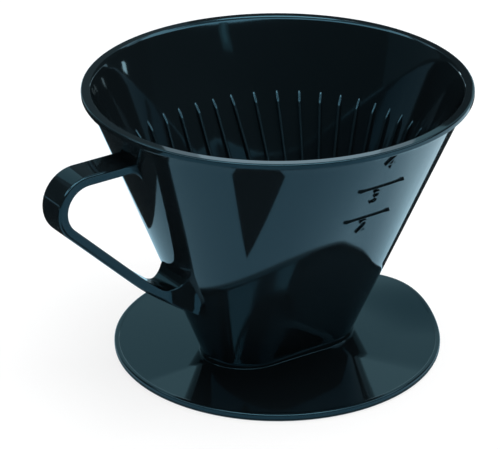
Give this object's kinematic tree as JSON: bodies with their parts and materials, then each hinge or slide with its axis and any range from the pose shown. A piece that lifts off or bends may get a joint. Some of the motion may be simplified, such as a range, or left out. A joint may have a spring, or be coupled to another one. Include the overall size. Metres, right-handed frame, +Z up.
{
  "type": "coffee filter holder",
  "caption": "Glossy black plastic cone that holds a paper coffee filter over a cup, with ribs inside, a round base plate and a strap handle.",
  "frame": {"origin": "on the underside of the base plate, on the axis of the cone", "axes": "+Z up through the mouth, +X along the foot of the cone and away from the handle, -Y out of the side with the level lines"},
  "size_m": [0.1483, 0.126, 0.094],
  "materials": {
    "plastic": "high gloss, black with a cold tint"
  },
  "bodies": {
    "root": {"filter_holder": "plastic"}
  },
  "joints": []
}
